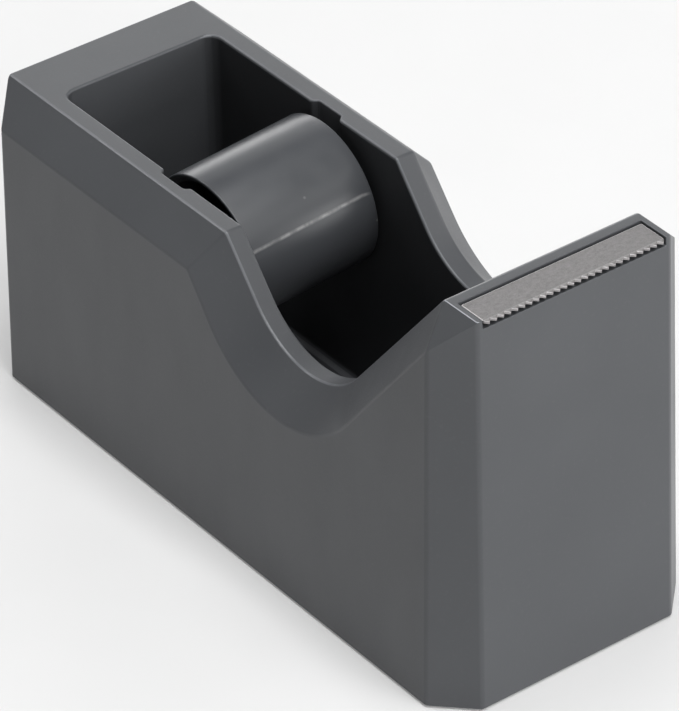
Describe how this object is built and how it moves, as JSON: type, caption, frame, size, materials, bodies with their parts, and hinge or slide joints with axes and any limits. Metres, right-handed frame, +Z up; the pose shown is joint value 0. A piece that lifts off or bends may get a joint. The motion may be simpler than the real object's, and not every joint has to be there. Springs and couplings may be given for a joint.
{
  "type": "tape dispenser",
  "caption": "Weighted desk tape dispenser: bevelled moulded housing with an open roll well, lift-out spinning hub and a serrated blade on its tower.",
  "frame": {"origin": "on the ground, in the middle of the footprint: the bottom centre of the bounding box", "axes": "+X towards the blade, along the length; +Y across, to the left side; +Z up"},
  "size_m": [0.12, 0.0486, 0.0691],
  "materials": {
    "moulded_plastic": "dark warm-grey moulded plastic, fine satin texture",
    "hub_plastic": "the same grey plastic, smooth and glossy",
    "axle_plastic": "grey plastic, smooth",
    "blade_steel": "matt rolled steel strip with bright ground teeth",
    "plate_steel": "black coated sheet steel",
    "screw_steel": "zinc plated",
    "ballast_iron": "raw casting",
    "pad_rubber": "matt black, fine grained",
    "bond_foam": "black adhesive foam"
  },
  "bodies": {
    "housing": {"housing": "moulded_plastic", "base_plate": "plate_steel", "non_slip_pad": "pad_rubber", "tower_ballast": "ballast_iron", "blade": "blade_steel", "blade_bond_pad": "bond_foam", "base_screw_front_left": "screw_steel", "base_screw_front_right": "screw_steel", "base_screw_rear_left": "screw_steel", "base_screw_rear_right": "screw_steel", "ballast_screw_left": "screw_steel", "ballast_screw_right": "screw_steel"},
    "axle": {"axle": "axle_plastic"},
    "hub": {"hub_drum": "hub_plastic", "hub_end_cap": "hub_plastic"}
  },
  "joints": [
    {"name": "hub_lift", "type": "slide", "parent": "housing", "child": "axle", "axis": [0, 0, 1], "range_m": [0, 0.034]},
    {"name": "hub_spin", "type": "hinge", "parent": "axle", "child": "hub", "pos_m": [-0.01815, 0.00185, 0.0391], "axis": [-0.0297, 0.9979, 0.0575], "continuous": true}
  ]
}
